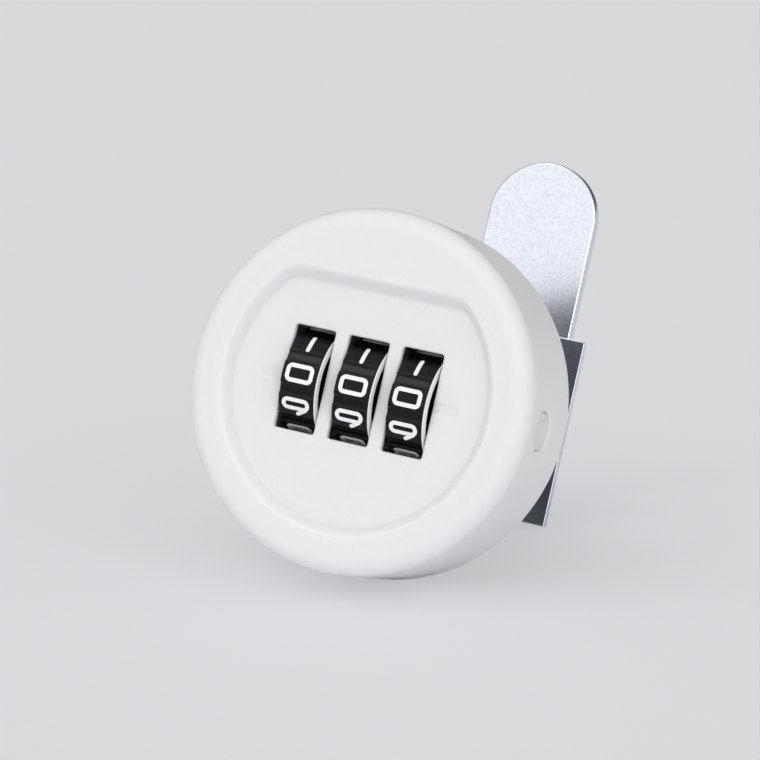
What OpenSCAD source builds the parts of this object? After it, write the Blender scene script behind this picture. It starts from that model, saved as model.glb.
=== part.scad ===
// Combination locker lock: a round knob with three number dials, a threaded
// mounting sleeve for the door, and a cam that turns with the knob.
// Millimetres. The lock's axis is Y: the face looks along -Y, the door's front
// face is the plane y = 0, and +Z is up. Nothing is drawn outside the if lines.

/* [Knob] */
// Diameter of the round housing
knob_d = 48; // [47:0.5:56]
// Gap between the housing's rim and the door
rim_gap = 0.3; // [0.2:0.1:0.6]
// Thickness of the round side wall
knob_wall = 1.8; // [1.4:0.1:2.4]
// Thickness of the raised front ring
ring_t = 1.8; // [1.4:0.1:2.4]
// Radius of the rounded front edge
edge_r = 2.5; // [1:0.1:3.2]
// Thickness of the sunk panel with the windows
panel_t = 1.3; // [1:0.1:1.6]

/* [Recess] */
// Width of the front ring, from the side wall to the recess's upper edge
ring_w = 4.85; // [4:0.05:5.5]
// How deep the panel lies below the front ring
recess_depth = 1.5; // [1:0.1:1.8]
// Width of the sloped edge round the recess
recess_slope = 1.5; // [0.8:0.1:2]
// Height of the recess's flat top edge above the centre, on the panel
chord_z = 12.7; // [11:0.1:14]
// Width of the sloped edge along the flat top
chord_slope = 2.1; // [0.8:0.1:2.6]
// Radius of the two corners of the flat top
recess_corner = 2; // [1:0.1:3]

/* [Windows and index marks] */
// Width of each window
window_w = 5.8; // [5.7:0.1:6.2]
// Height of each window
window_h = 13.8; // [12:0.1:14.5]
// Length of the index mark on each side of the row
index_l = 3.5; // [2:0.1:4.2]
// Width of an index mark
index_w = 1.6; // [1:0.1:2]
// Depth of an index mark
index_depth = 0.15; // [0.1:0.05:0.4]

/* [Dials] */
// Diameter of a dial
dial_d = 14.4; // [13.8:0.1:15]
// Width of a dial
dial_w = 5.3; // [5:0.1:5.4]
// Distance from one dial to the next
dial_pitch = 7.7; // [7.6:0.1:8]
// How far a dial stands out of the panel
dial_proud = 1.8; // [1.2:0.1:2.2]
// Gap between a dial and the rear cover
dial_rear_gap = 0.3; // [0.2:0.1:0.6]
// Thickness of the black tread
tread_t = 0.6; // [0.4:0.1:1]
// Thickness of the closed left end of a dial
dial_end_t = 1; // [0.7:0.1:1.5]
// Diameter of a dial's hub
hub_d = 7.2; // [6.6:0.1:8]
// Inner diameter of the white ring
white_id = 11.8; // [11.2:0.1:12.2]
// Thickness of the white ring's lip on the right side
lip_t = 0.2; // [0.1:0.05:0.4]
// How far the lip's rim stays below the tread
lip_step = 0.1; // [0.05:0.05:0.2]
// Radius of the grooves between the numbers
groove_r = 0.9; // [0.6:0.1:1.4]
// Depth of the grooves between the numbers
groove_depth = 0.25; // [0.1:0.05:0.35]
// Angle by which the numbers stand above the middle of the window
number_lift = 4; // [0:0.5:8]

/* [Code sleeves and axle] */
// Diameter of the axle
axle_d = 2.6; // [2.2:0.1:2.8]
// Diameter of a code sleeve where a dial runs on it
sleeve_d = 5.2; // [4.8:0.1:5.4]
// Diameter of the code disc
disc_d = 7.6; // [7.2:0.1:7.8]
// Thickness of the code disc
disc_t = 0.8; // [0.6:0.1:1]
// Width of the gate in the code disc
gate_w = 2; // [1.8:0.1:2.2]
// How far the axle moves when the code is changed
change_travel = 1.2; // [0.8:0.1:1.2]

/* [Axle ribs] */
// Thickness of each rib that carries the axle
rib_t = 1.4; // [1.2:0.1:2]
// Half height of each rib
rib_half_h = 4; // [3:0.5:5]
// Gap from the moving sleeves to a rib
rib_gap = 0.75; // [0.4:0.05:1]

/* [Change button] */
// Diameter of the button
button_d = 5; // [4.5:0.1:6]
// Diameter of the collar that keeps the button in
button_collar_d = 7.2; // [6.8:0.1:8]
// Thickness of that collar
button_collar_t = 1; // [0.8:0.1:1.5]
// Wall of the tube that guides the button
button_boss_wall = 1.4; // [1:0.1:2]
// Depth of the dish in the button's end
button_dish = 0.4; // [0.2:0.1:0.8]
// Radius of the ball that cuts the dish
dish_r = 6; // [5:0.5:9]

/* [Fence] */
// How far the fence moves to let its pin into the flange
fence_travel = 1.2; // [1:0.05:1.2]
// Width of a finger across the disc
finger_w = 2; // [1.6:0.1:2.1]
// Height of a finger's tip, which fits the gate
tip_h = 1.8; // [1.4:0.1:1.8]
// Length of a finger's tip into the gate
tip_l = 1.2; // [1.1:0.05:1.2]
// Thickness of a finger's shank
shank_t = 1.1; // [0.9:0.1:1.2]
// Thickness of the bar
bar_t = 2; // [1.6:0.1:2.4]
// Height of the bar
bar_h = 2.4; // [2:0.1:2.8]
// Diameter of the locking pin
pin_d = 2.4; // [2:0.1:2.6]
// Distance of the locking pin from the lock's axis
pin_offset = 13; // [12.6:0.1:13.4]
// Width of the tongue that carries the pin
tongue_w = 5; // [4.4:0.2:6]

/* [Rear cover and screws] */
// Thickness of the steel cover
cover_t = 0.9; // [0.8:0.1:1.2]
// Diameter of a cover screw
cover_screw_d = 2; // [1.6:0.1:2.2]
// Length of a cover screw
cover_screw_l = 7; // [5:0.5:9]
// Diameter of a cover screw's countersunk head
cover_head_d = 3.8; // [3.4:0.1:4.4]
// Diameter of a screw boss
boss_d = 4.8; // [4.2:0.1:5.2]

/* [Detent spring] */
// Thickness of the leaf
leaf_t = 0.3; // [0.2:0.05:0.4]
// Width of a leaf finger
leaf_w = 2.4; // [1.8:0.2:3.4]
// Gap left between a finger and the dial's tread
leaf_gap = 0.15; // [0.1:0.05:0.3]

/* [Mounting sleeve] */
// Gap between the flange that rests on the door and the housing's wall
flange_gap = 0.7; // [0.4:0.1:2]
// Thickness of the flange
flange_t = 1; // [1:0.1:1.4]
// Diameter of the threaded stem
stem_d = 19; // [18:0.5:20]
// Width across the stem's two flats
stem_flats = 16.5; // [15.8:0.1:17]
// Length of the stem behind the door's front face
stem_l = 38.1; // [34:0.1:44]
// Length of the round shoulder before the flats begin
stem_shoulder = 2; // [1:0.5:4]
// Length of the stop wall on the stem's end
stop_l = 1.2; // [1:0.1:1.6]
// Distance between the ring grooves that stand for the stem's thread
thread_step = 2.2; // [1.8:0.1:3]
// Width of a ring groove
thread_w = 1.2; // [0.8:0.1:1.6]
// Depth of a ring groove
thread_depth = 0.5; // [0.3:0.05:0.6]

/* [Clamp plate and nut] */
// Side of the square clamp plate
plate_w = 26.9; // [26:0.1:30]
// Thickness of the clamp plate
plate_t = 1.2; // [1:0.1:2]
// Length of the stem left free behind the nut
stem_spare = 1.2; // [0.8:0.1:20]
// Clearance of the stem in the plate's hole
plate_fit = 0.6; // [0.2:0.1:1]
// How far the plate sits above the axis within that clearance
plate_lift = 0.5; // [0:0.1:0.6]
// Radius of the plate's corners
plate_corner = 0.6; // [0.3:0.1:3]
// Wall of the nut from its bore to a flat
nut_wall = 2; // [1.5:0.1:3]
// Thickness of the nut
nut_t = 4.5; // [3:0.1:5]
// Size of the chamfer on the nut's corners
nut_chamfer = 0.8; // [0.4:0.1:1.2]

/* [Spindle] */
// Diameter of the spindle
spindle_d = 10; // [9:0.1:10.6]
// Diameter of the spindle's head behind the cover
spindle_head_d = 14.8; // [14:0.1:15.4]
// Thickness of the spindle's head
spindle_head_t = 0.9; // [0.7:0.1:1]
// Side of the square ends of the spindle
square_w = 6.4; // [5.6:0.1:6.6]
// Angle that the knob turns through
knob_turn = 90; // [90:90:90]

/* [Cam and its fixing] */
// Width of the cam
cam_w = 16.5; // [14:0.5:18]
// Distance from the axis to the cam's tip
cam_l = 39; // [30:0.1:50]
// Thickness of the cam
cam_t = 2; // [1.6:0.1:3]
// Diameter of the stop washer
stop_washer_d = 14.4; // [13.6:0.1:14.8]
// Thickness of the stop washer
stop_washer_t = 1.2; // [1:0.1:1.4]
// Reach of the stop washer's tab from the axis
tab_reach = 9.2; // [8.6:0.1:9.5]
// Width of the stop washer's tab
tab_w = 3; // [2:0.2:4]
// Diameter of the cam screw's thread
cam_screw_d = 4.2; // [3.6:0.1:5]
// Length of the cam screw under its head
cam_screw_l = 11; // [8:0.5:16]
// Width across the flats of the cam screw's head
cam_head_af = 8; // [7:0.5:10]
// Height of the cam screw's head
cam_head_h = 3.2; // [2.5:0.1:4]
// Height of the chamfer on the cam screw's head
cam_head_chamfer = 0.6; // [0.3:0.1:1]
// Diameter of the washer under the head
cam_washer_d = 12; // [10.5:0.5:15]
// Thickness of that washer
cam_washer_t = 1; // [0.8:0.1:1.5]

/* [Clearances] */
// Radial running clearance of shafts and dials
run_fit = 0.06; // [0.03:0.01:0.1]
// Gap between flat faces that slide past each other
slide_gap = 0.1; // [0.05:0.05:0.2]
// Gap round the rear cover and other loose fits
loose_gap = 0.3; // [0.2:0.05:0.5]
// Radial clearance of screws and pressed pins in their holes
hole_fit = 0.02; // [0.01:0.01:0.05]

/* [Hidden] */
$fn = 96;

// Room that a cutting shape reaches past the face it opens
past = 1;

knob_r = knob_d / 2;
inner_r = knob_r - knob_wall;
recess_d = knob_d - 2 * ring_w;
flange_d = 2 * (inner_r - flange_gap);
dial_r = dial_d / 2;
sleeve_r = sleeve_d / 2;
disc_r = disc_d / 2;
axle_r = axle_d / 2;

// Depths along the lock's axis, from the door's front face towards the front
cover_back = -flange_t - slide_gap;
cover_front = cover_back - cover_t;
dial_y = cover_front - dial_rear_gap - dial_r;
panel_y = dial_y - dial_r + dial_proud;
panel_back = panel_y + panel_t;
front_y = panel_y - recess_depth;
ring_back = front_y + ring_t;
inner_back = cover_front - slide_gap;

// Positions across the dial row
dial_xs = [-dial_pitch, 0, dial_pitch];
dial_gap = dial_pitch - dial_w;
disc_x = -dial_w / 2 - slide_gap - disc_t;
sleeve_l = dial_pitch - slide_gap;
last_sleeve_l = sleeve_l - 0.6;
rib_left_x = -dial_pitch + disc_x - change_travel - rib_gap;
rib_right_x = dial_pitch + disc_x + last_sleeve_l + rib_gap;

// Button, its guide tube and the axle's ends
collar_room = 1.2;
button_collar_x = rib_right_x + rib_t + change_travel + collar_room;
button_boss_x = button_collar_x + button_collar_t + slide_gap;
button_set_in = 0.2;
button_end_x = knob_r - button_set_in;
button_socket_l = 3.3;
axle_end_x = button_collar_x + button_socket_l;
axle_collar_d = 4.8;
axle_collar_t = 0.8;
axle_collar_x = rib_left_x - rib_t - 0.4;
axle_start_x = axle_collar_x - axle_collar_t;

// Springs
spring_wire_d = 0.4;
change_spring_d = 3.4;
change_spring_pitch = 1.05;
spring_cup_d = 6;
spring_room = axle_start_x + inner_r;
change_spring_turns = floor(spring_room / change_spring_pitch);
spring_cup_l = (spring_room - change_travel) / 2;
fence_spring_d = 3.6;
fence_spring_turns = 3;
spring_seat = 0.02;

// Fence: fingers in the gaps on each dial's left side
tip_y = dial_y + sleeve_r + slide_gap;
shank_y = tip_y + tip_l;
fence_back = shank_y + shank_t;
bar_y = fence_back - bar_t;
bar_top = -dial_r - 0.4;
bar_bottom = bar_top - bar_h;
finger_inset = (dial_gap - finger_w) / 2;
bar_half_l = dial_pitch + dial_w / 2 + dial_gap - finger_inset;
tongue_end = 2.2;
tongue_bottom = -pin_offset - tongue_end;
pin_tip_y = -flange_t - loose_gap;
guide_t = 1.2;

cover_r = inner_r - loose_gap;

// Detent spring: the fingers bear on the dials 45 degrees behind their top
leaf_angle = 45;
leaf_reach = dial_r + leaf_gap + leaf_t / 2;
leaf_tip = [dial_y + leaf_reach * cos(leaf_angle), leaf_reach * sin(leaf_angle)];
leaf_tail_y = 1.15;
leaf_tail_z = 1;
leaf_tail = leaf_tip + [leaf_tail_y, -leaf_tail_z];
leaf_base_y = cover_front - leaf_t / 2;
leaf_bend_rise = 1.9;
leaf_base_rise = 3.5;
leaf_bend = [leaf_base_y - leaf_t, leaf_tip[1] + leaf_bend_rise];
leaf_base_z = leaf_tip[1] + leaf_base_rise;
leaf_base_h = 3.6;
leaf_margin = 0.6;
leaf_half_l = dial_pitch + leaf_w / 2 + leaf_margin;
leaf_overlap = 0.5;
rivet_d = 1.6;
rivet_head_d = 2.8;
rivet_head_t = 0.5;
rivet_z = leaf_base_z + leaf_base_h / 2 + loose_gap;

// Screw bosses: two beside the leaf and above the dials, two below the fence
boss_gap = 0.2;
boss_top_x = leaf_half_l + boss_d / 2 + boss_gap / 2;
boss_top_z = dial_r + boss_d / 2 + 2 * boss_gap;
boss_low_x = dial_pitch + 1.3;
boss_low_z = bar_bottom - boss_d / 2 - boss_gap;
boss_places = [
  [-boss_top_x, boss_top_z],
  [boss_top_x, boss_top_z],
  [-boss_low_x, boss_low_z],
  [boss_low_x, boss_low_z]
];

// Sleeve, spindle and cam along the axis
stem_r = stem_d / 2;
plate_y = stem_l - stem_spare - nut_t - plate_t;
nut_af = stem_d + 2 * nut_wall;
thread_margin = 1.4;
thread_first = stem_shoulder + thread_margin;
thread_count = floor((stem_l - thread_margin - thread_first) / thread_step) + 1;
hex_past = 0.2;
bore_r = spindle_d / 2 + run_fit;
head_y = cover_back;
seat_y = head_y + spindle_head_t + slide_gap;
washer_y = stem_l + 0.2;
cam_y = washer_y + stop_washer_t;
cam_back = cam_y + cam_t;
stop_wall_r = stop_washer_d / 2 + 0.2;
square_fit = 0.03;
pin_hole_r = pin_d / 2 + slide_gap + run_fit;

white = [0.94, 0.94, 0.95];
black = [0.09, 0.09, 0.10];
zinc = [0.76, 0.78, 0.80];
steel = [0.66, 0.68, 0.70];
brass = [0.80, 0.66, 0.36];
bronze = [0.72, 0.55, 0.38];

// Turns a profile drawn as [radius, y] about the lock's axis
module turned() {
  rotate([-90, 0, 0])
    rotate_extrude()
      children();
}

// Extrudes a shape drawn in x and z from y0 to y1
module slab(y0, y1) {
  translate([0, y1, 0])
    rotate([90, 0, 0])
      linear_extrude(y1 - y0)
        children();
}

// A round bar along the lock's axis, at x and z, from y0 to y1
module post(x, z, r, y0, y1) {
  translate([x, y0, z])
    rotate([-90, 0, 0])
      cylinder(r = r, h = y1 - y0);
}

// A round bar along the dial axis, from x0 to x1
module rod(r, x0, x1) {
  translate([x0, dial_y, 0])
    rotate([0, 90, 0])
      cylinder(r = r, h = x1 - x0);
}

// A box given by its low and high corners
module block(low, high) {
  translate(low)
    cube(high - low);
}

// A helical spring along Z, as a tube swept round a helix
module coil(mean_d, wire_d, length, turns, steps = 12, sides = 6) {
  count = turns * steps;
  rise = (length - wire_d) / count;
  points = [
    for (i = [0:count])
      for (j = [0:sides - 1])
        let (
          around = 360 * i / steps,
          across = 360 * j / sides,
          r = mean_d / 2 + wire_d / 2 * cos(across)
        )
        [r * cos(around), r * sin(around), wire_d / 2 + rise * i + wire_d / 2 * sin(across)]
  ];
  walls = [
    for (i = [0:count - 1])
      for (j = [0:sides - 1])
        let (k = (j + 1) % sides)
        [i * sides + j, i * sides + k, (i + 1) * sides + k, (i + 1) * sides + j]
  ];
  first = [for (j = [sides - 1:-1:0]) j];
  last = [for (j = [0:sides - 1]) count * sides + j];
  polyhedron(points = points, faces = concat(walls, [first], [last]), convexity = 4);
}

// Points of an arc, for the profiles
function arc_points(centre, r, from, to, steps) = [
  for (i = [0:steps])
    let (a = from + (to - from) * i / steps)
    centre + r * [cos(a), sin(a)]
];

// The outline of the recess: a circle with a flat top and rounded corners
module recess_outline(r, top) {
  offset(r = recess_corner)
    offset(delta = -recess_corner)
      intersection() {
        circle(r = r);
        translate([-r, -r])
          square([2 * r, r + top]);
      }
}

// The recess with its sloped edge, cut into the front
module recess_cutter() {
  floor_t = 0.01;
  outer_r = recess_d / 2;
  reach = (recess_depth + past) / recess_depth;
  hull() {
    slab(panel_y - floor_t, panel_y)
      recess_outline(outer_r - recess_slope, chord_z);
    slab(panel_y - recess_depth * reach - floor_t, panel_y - recess_depth * reach)
      recess_outline(
        outer_r + recess_slope * (reach - 1),
        chord_z + chord_slope * reach
      );
  }
}

// Half profile of the housing: a cup with a rounded front edge
module shell_profile() {
  step_r = recess_d / 2 + 1.2;
  polygon(concat(
    [[0, front_y]],
    arc_points([knob_r - edge_r, front_y + edge_r], edge_r, 270, 360, 10),
    [
      [knob_r, -rim_gap],
      [inner_r, -rim_gap],
      [inner_r, ring_back],
      [step_r, ring_back],
      [step_r, panel_back],
      [0, panel_back]
    ]
  ));
}

// One rib that carries the axle, with its slot open to the rear
module axle_rib(x) {
  slot_half = axle_r + run_fit;
  difference() {
    block([x, panel_back - 0.5, -rib_half_h], [x + rib_t, inner_back, rib_half_h]);
    rod(slot_half, x - past, x + rib_t + past);
    block([x - past, dial_y, -slot_half], [x + rib_t + past, inner_back + past, slot_half]);
  }
}

module index_mark(side) {
  start = dial_pitch + window_w / 2;
  round_x = start + index_l - index_w / 2;
  slab(panel_y - past, panel_y + index_depth) {
    translate([side * (start + round_x) / 2, 0])
      square([round_x - start + 0.2, index_w], center = true);
    translate([side * round_x, 0])
      circle(r = index_w / 2);
  }
}

module knob_shell() {
  boss_r = boss_d / 2;
  tube_r = button_d / 2 + slide_gap + button_boss_wall;
  color(white)
    difference() {
      union() {
        turned() shell_profile();
        for (place = boss_places)
          post(place[0], place[1], boss_r, panel_back - 0.5, cover_front);
        axle_rib(rib_left_x - rib_t);
        axle_rib(rib_right_x);
        for (side = [-1, 1])
          translate([side * (tongue_w / 2 + slide_gap + guide_t / 2), 0, 0])
            block(
              [-guide_t / 2, panel_back - 0.5, tongue_bottom],
              [guide_t / 2, inner_back, bar_bottom - loose_gap]
            );
        rod(tube_r, button_boss_x, knob_r - knob_wall / 2);
        difference() {
          rod(spring_cup_d / 2, -inner_r - 0.5, -inner_r + spring_cup_l);
          rod(change_spring_d / 2 + spring_wire_d, -inner_r, -inner_r + spring_cup_l + past);
        }
      }
      recess_cutter();
      for (x = dial_xs)
        slab(panel_y - past, panel_back + past)
          translate([x, 0])
            square([window_w, window_h], center = true);
      index_mark(-1);
      index_mark(1);
      rod(button_d / 2 + slide_gap, button_boss_x - past, knob_r + past);
      for (place = boss_places)
        post(
          place[0], place[1], cover_screw_d / 2 + hole_fit,
          cover_back - cover_screw_l - 0.6, cover_front + past
        );
    }
}

module rear_cover() {
  head_r = cover_head_d / 2 + hole_fit;
  color(steel)
    difference() {
      post(0, 0, cover_r, cover_front, cover_back);
      slab(cover_front - past, cover_back + past)
        square(square_w + 2 * square_fit, center = true);
      post(0, -pin_offset, pin_hole_r, cover_front - past, cover_back + past);
      for (place = boss_places) {
        post(place[0], place[1], cover_screw_d / 2 + hole_fit, cover_front - past, cover_back + past);
        translate([place[0], cover_front, place[1]])
          rotate([-90, 0, 0])
            cylinder(r1 = cover_screw_d / 2 + hole_fit, r2 = head_r, h = cover_t);
      }
      for (side = [-1, 1])
        post(side * dial_pitch / 2, rivet_z, rivet_d / 2 + hole_fit, cover_front - past, cover_back + past);
    }
}

module cover_screws() {
  slot_w = 0.6;
  slot_depth = 0.35;
  color(steel)
    for (place = boss_places)
      difference() {
        union() {
          post(place[0], place[1], cover_screw_d / 2, cover_back - cover_screw_l, cover_front);
          translate([place[0], cover_front, place[1]])
            rotate([-90, 0, 0])
              cylinder(r1 = cover_screw_d / 2, r2 = cover_head_d / 2, h = cover_t);
        }
        for (turn = [0, 90])
          translate([place[0], cover_back, place[1]])
            rotate([0, turn, 0])
              cube([cover_head_d * 0.6, 2 * slot_depth, slot_w], center = true);
      }
}

// Square spigot, head, round shaft and square end, with a tapped hole for the cam screw
module spindle() {
  end_y = cam_back - 0.2;
  color(zinc)
    difference() {
      union() {
        slab(cover_front, cover_back)
          square(square_w, center = true);
        post(0, 0, spindle_head_d / 2, head_y, head_y + spindle_head_t);
        post(0, 0, spindle_d / 2, head_y, washer_y);
        slab(washer_y, end_y)
          square(square_w, center = true);
      }
      post(0, 0, cam_screw_d / 2 + hole_fit, cam_back + cam_washer_t - cam_screw_l - past, end_y + past);
    }
}

// Half profile of the stem, with plain ring grooves in place of the thread
module stem_profile() {
  grooves = [
    for (i = [0:thread_count - 1])
      let (y = thread_first + i * thread_step)
      each [
        [stem_r, y - thread_w / 2],
        [stem_r - thread_depth, y],
        [stem_r, y + thread_w / 2]
      ]
  ];
  polygon(concat([[0, 0], [stem_r, 0]], grooves, [[stem_r, stem_l + stop_l], [0, stem_l + stop_l]]));
}

// Flange, threaded double-D stem and the stop wall on its end
module mounting_sleeve() {
  edge = stem_flats / 2;
  side_gap = tab_w / 2 + slide_gap;
  color(zinc)
    difference() {
      union() {
        post(0, 0, flange_d / 2, -flange_t, 0);
        turned($fn = 60) stem_profile();
      }
      post(0, 0, bore_r, -flange_t - past, stem_l + stop_l + past);
      post(0, 0, spindle_head_d / 2 + loose_gap, -flange_t - past, seat_y);
      post(0, 0, stop_wall_r, stem_l, stem_l + stop_l + past);
      block([-side_gap, stem_l, -side_gap], [stem_d, stem_l + stop_l + past, stem_d]);
      for (side = [-1, 1])
        translate([side * (edge + stem_r), (stem_shoulder + stem_l + stop_l + past) / 2, 0])
          cube([2 * stem_r, stem_l + stop_l + past - stem_shoulder, 2 * stem_d], center = true);
      for (turn = [0, knob_turn])
        post(-pin_offset * sin(turn), -pin_offset * cos(turn), pin_hole_r, -flange_t - past, past);
    }
}

// A round hole with two flats, for what slides over the stem
module stem_hole() {
  intersection() {
    circle(r = stem_r + plate_fit);
    square([stem_flats + 2 * slide_gap, 2 * stem_d], center = true);
  }
}

module clamp_plate() {
  half = plate_w / 2 - plate_corner;
  color(zinc)
    slab(plate_y, plate_y + plate_t)
      difference() {
        translate([0, plate_lift])
          union() {
            square([plate_w, 2 * half], center = true);
            square([2 * half, plate_w], center = true);
            for (x = [-half, half])
              for (z = [-half, half])
                translate([x, z])
                  circle(r = plate_corner);
          }
        translate([0, plate_lift])
          stem_hole();
      }
}

// Hexagon nut whose corners are turned down to a cone on both sides
module clamp_nut() {
  nut_y = plate_y + plate_t;
  corner_r = nut_af / 2 / cos(30);
  color(zinc)
    difference() {
      intersection() {
        slab(nut_y, nut_y + nut_t)
          rotate(30)
            circle(r = corner_r, $fn = 6);
        turned()
          polygon([
            [0, nut_y],
            [nut_af / 2 - hex_past, nut_y],
            [corner_r + hex_past, nut_y + nut_chamfer],
            [corner_r + hex_past, nut_y + nut_t - nut_chamfer],
            [nut_af / 2 - hex_past, nut_y + nut_t],
            [0, nut_y + nut_t]
          ]);
      }
      post(0, 0, stem_r + run_fit, nut_y - past, nut_y + nut_t + past);
    }
}

module square_hole() {
  square(square_w + 2 * square_fit, center = true);
}

// Washer with a tab that swings between the walls on the sleeve's end
module stop_washer() {
  color(zinc)
    slab(washer_y, washer_y + stop_washer_t)
      difference() {
        union() {
          circle(r = stop_washer_d / 2);
          translate([-tab_w / 2, 0])
            square([tab_w, tab_reach]);
        }
        square_hole();
      }
}

// Flat cam with two full-round ends
module cam() {
  tip_z = cam_l - cam_w / 2;
  color(zinc)
    slab(cam_y, cam_back)
      difference() {
        union() {
          circle(r = cam_w / 2);
          translate([-cam_w / 2, 0])
            square([cam_w, tip_z]);
          translate([0, tip_z])
            circle(r = cam_w / 2);
        }
        square_hole();
      }
}

module cam_washer() {
  color(zinc)
    difference() {
      post(0, 0, cam_washer_d / 2, cam_back, cam_back + cam_washer_t);
      post(0, 0, cam_screw_d / 2 + 0.4, cam_back - past, cam_back + cam_washer_t + past);
    }
}

module cam_screw() {
  seat = cam_back + cam_washer_t;
  corner_r = cam_head_af / 2 / cos(30);
  color(zinc)
    union() {
      post(0, 0, cam_screw_d / 2, seat - cam_screw_l, seat + cam_head_h / 2);
      intersection() {
        slab(seat, seat + cam_head_h)
          circle(r = corner_r, $fn = 6);
        turned()
          polygon([
            [0, seat],
            [corner_r + hex_past, seat],
            [corner_r + hex_past, seat + cam_head_h - cam_head_chamfer],
            [cam_head_af / 2 - hex_past, seat + cam_head_h],
            [0, seat + cam_head_h]
          ]);
      }
    }
}

// Block that closes a rib's slot behind the axle
module axle_keeper(x) {
  half = axle_r + run_fit - 0.05;
  color(black)
    difference() {
      block([x, dial_y + 0.5, -half], [x + rib_t, inner_back, half]);
      rod(axle_r + run_fit, x - past, x + rib_t + past);
    }
}

module axle_keeper_left() {
  axle_keeper(rib_left_x - rib_t);
}

module axle_keeper_right() {
  axle_keeper(rib_right_x);
}

// A strip of even thickness along a path of [y, z] points, extruded along x
module strip(path, x0, x1) {
  last = len(path) - 1;
  across = [
    for (i = [0:last])
      let (
        d = path[min(i + 1, last)] - path[max(i - 1, 0)],
        n = [-d[1], d[0]] / norm(d)
      )
      n * leaf_t / 2
  ];
  outline = concat(
    [for (i = [0:last]) path[i] + across[i]],
    [for (i = [last:-1:0]) path[i] - across[i]]
  );
  translate([x0, 0, 0])
    rotate([90, 0, 90])
      linear_extrude(x1 - x0)
        polygon(outline);
}

// Leaf with one finger for each dial, riveted to the rear cover
module detent_spring() {
  base_low = [leaf_base_y, leaf_base_z];
  base_high = [leaf_base_y, leaf_base_z + leaf_base_h];
  color(bronze)
    difference() {
      union() {
        strip([base_low, base_high], -leaf_half_l, leaf_half_l);
        for (x = dial_xs)
          strip(
            [base_low + [0, leaf_overlap], base_low, leaf_bend, leaf_tip, leaf_tail],
            x - leaf_w / 2,
            x + leaf_w / 2
          );
      }
      for (side = [-1, 1])
        post(side * dial_pitch / 2, rivet_z, rivet_d / 2 + hole_fit, cover_front - past, cover_back);
    }
}

module detent_rivets() {
  color(steel)
    for (side = [-1, 1]) {
      post(side * dial_pitch / 2, rivet_z, rivet_d / 2, cover_front - leaf_t, cover_back);
      post(
        side * dial_pitch / 2, rivet_z, rivet_head_d / 2,
        cover_front - leaf_t - rivet_head_t, cover_front - leaf_t
      );
    }
}

// Spring between the housing's wall and the axle's collar
module change_spring() {
  length = axle_start_x + inner_r - 2 * spring_seat;
  color(steel)
    translate([-inner_r + spring_seat, dial_y, 0])
      rotate([0, 90, 0])
        coil(change_spring_d, spring_wire_d, length, change_spring_turns);
}

// Spring round the locking pin, between the fence and the rear cover
module fence_spring() {
  length = cover_front - fence_back - 2 * spring_seat;
  color(steel)
    translate([0, fence_back + spring_seat, -pin_offset])
      rotate([-90, 0, 0])
        coil(fence_spring_d, spring_wire_d, length, fence_spring_turns);
}

// Black part of a dial: tread, closed left end and hub, with ten grooves
module dial(x) {
  left = x - dial_w / 2;
  right = x + dial_w / 2 - lip_t;
  color(black)
    difference() {
      rod(dial_r, left, right);
      rod(sleeve_r + run_fit, left - past, right + past);
      difference() {
        rod(dial_r - tread_t, left + dial_end_t, right + past);
        rod(hub_d / 2, left, right + 2 * past);
      }
      for (i = [0:9])
        translate([0, dial_y, 0])
          rotate([36 * i - number_lift, 0, 0])
            translate([0, -dial_y, dial_r + groove_r - groove_depth])
              rod(groove_r, left - past, right + past);
    }
}

// White ring inside the tread, with a lip on the right side
module dial_ring(x) {
  left = x - dial_w / 2 + dial_end_t;
  right = x + dial_w / 2;
  color(white)
    difference() {
      union() {
        rod(dial_r - tread_t, left, right);
        rod(dial_r - lip_step, right - lip_t, right);
      }
      rod(white_id / 2, left - past, right + past);
    }
}

module dial_left() {
  dial(dial_xs[0]);
}

module dial_middle() {
  dial(dial_xs[1]);
}

module dial_right() {
  dial(dial_xs[2]);
}

module dial_left_ring() {
  dial_ring(dial_xs[0]);
}

module dial_middle_ring() {
  dial_ring(dial_xs[1]);
}

module dial_right_ring() {
  dial_ring(dial_xs[2]);
}

// Tube that a dial runs on, with a gated disc for the fence
module code_sleeve(x, length) {
  left = x + disc_x;
  color(brass)
    difference() {
      union() {
        rod(sleeve_r, left, left + length);
        rod(disc_r, left, left + disc_t);
      }
      rod(axle_r + hole_fit, left - past, left + length + past);
      block(
        [left - past, dial_y + sleeve_r, -gate_w / 2],
        [left + disc_t + past, dial_y + disc_r + past, gate_w / 2]
      );
    }
}

module code_sleeve_left() {
  code_sleeve(dial_xs[0], sleeve_l);
}

module code_sleeve_middle() {
  code_sleeve(dial_xs[1], sleeve_l);
}

module code_sleeve_right() {
  code_sleeve(dial_xs[2], last_sleeve_l);
}

module dial_axle() {
  color(steel)
    union() {
      rod(axle_r, axle_start_x, axle_end_x);
      rod(axle_collar_d / 2, axle_start_x, axle_collar_x);
    }
}

// Push button with a collar inside and a dished end
module change_button() {
  color(white)
    difference() {
      union() {
        rod(button_d / 2, button_collar_x, button_end_x);
        rod(button_collar_d / 2, button_collar_x, button_collar_x + button_collar_t);
      }
      rod(axle_r + hole_fit, button_collar_x - past, axle_end_x + slide_gap);
      translate([button_end_x + dish_r - button_dish, dial_y, 0])
        sphere(r = dish_r);
    }
}

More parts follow.
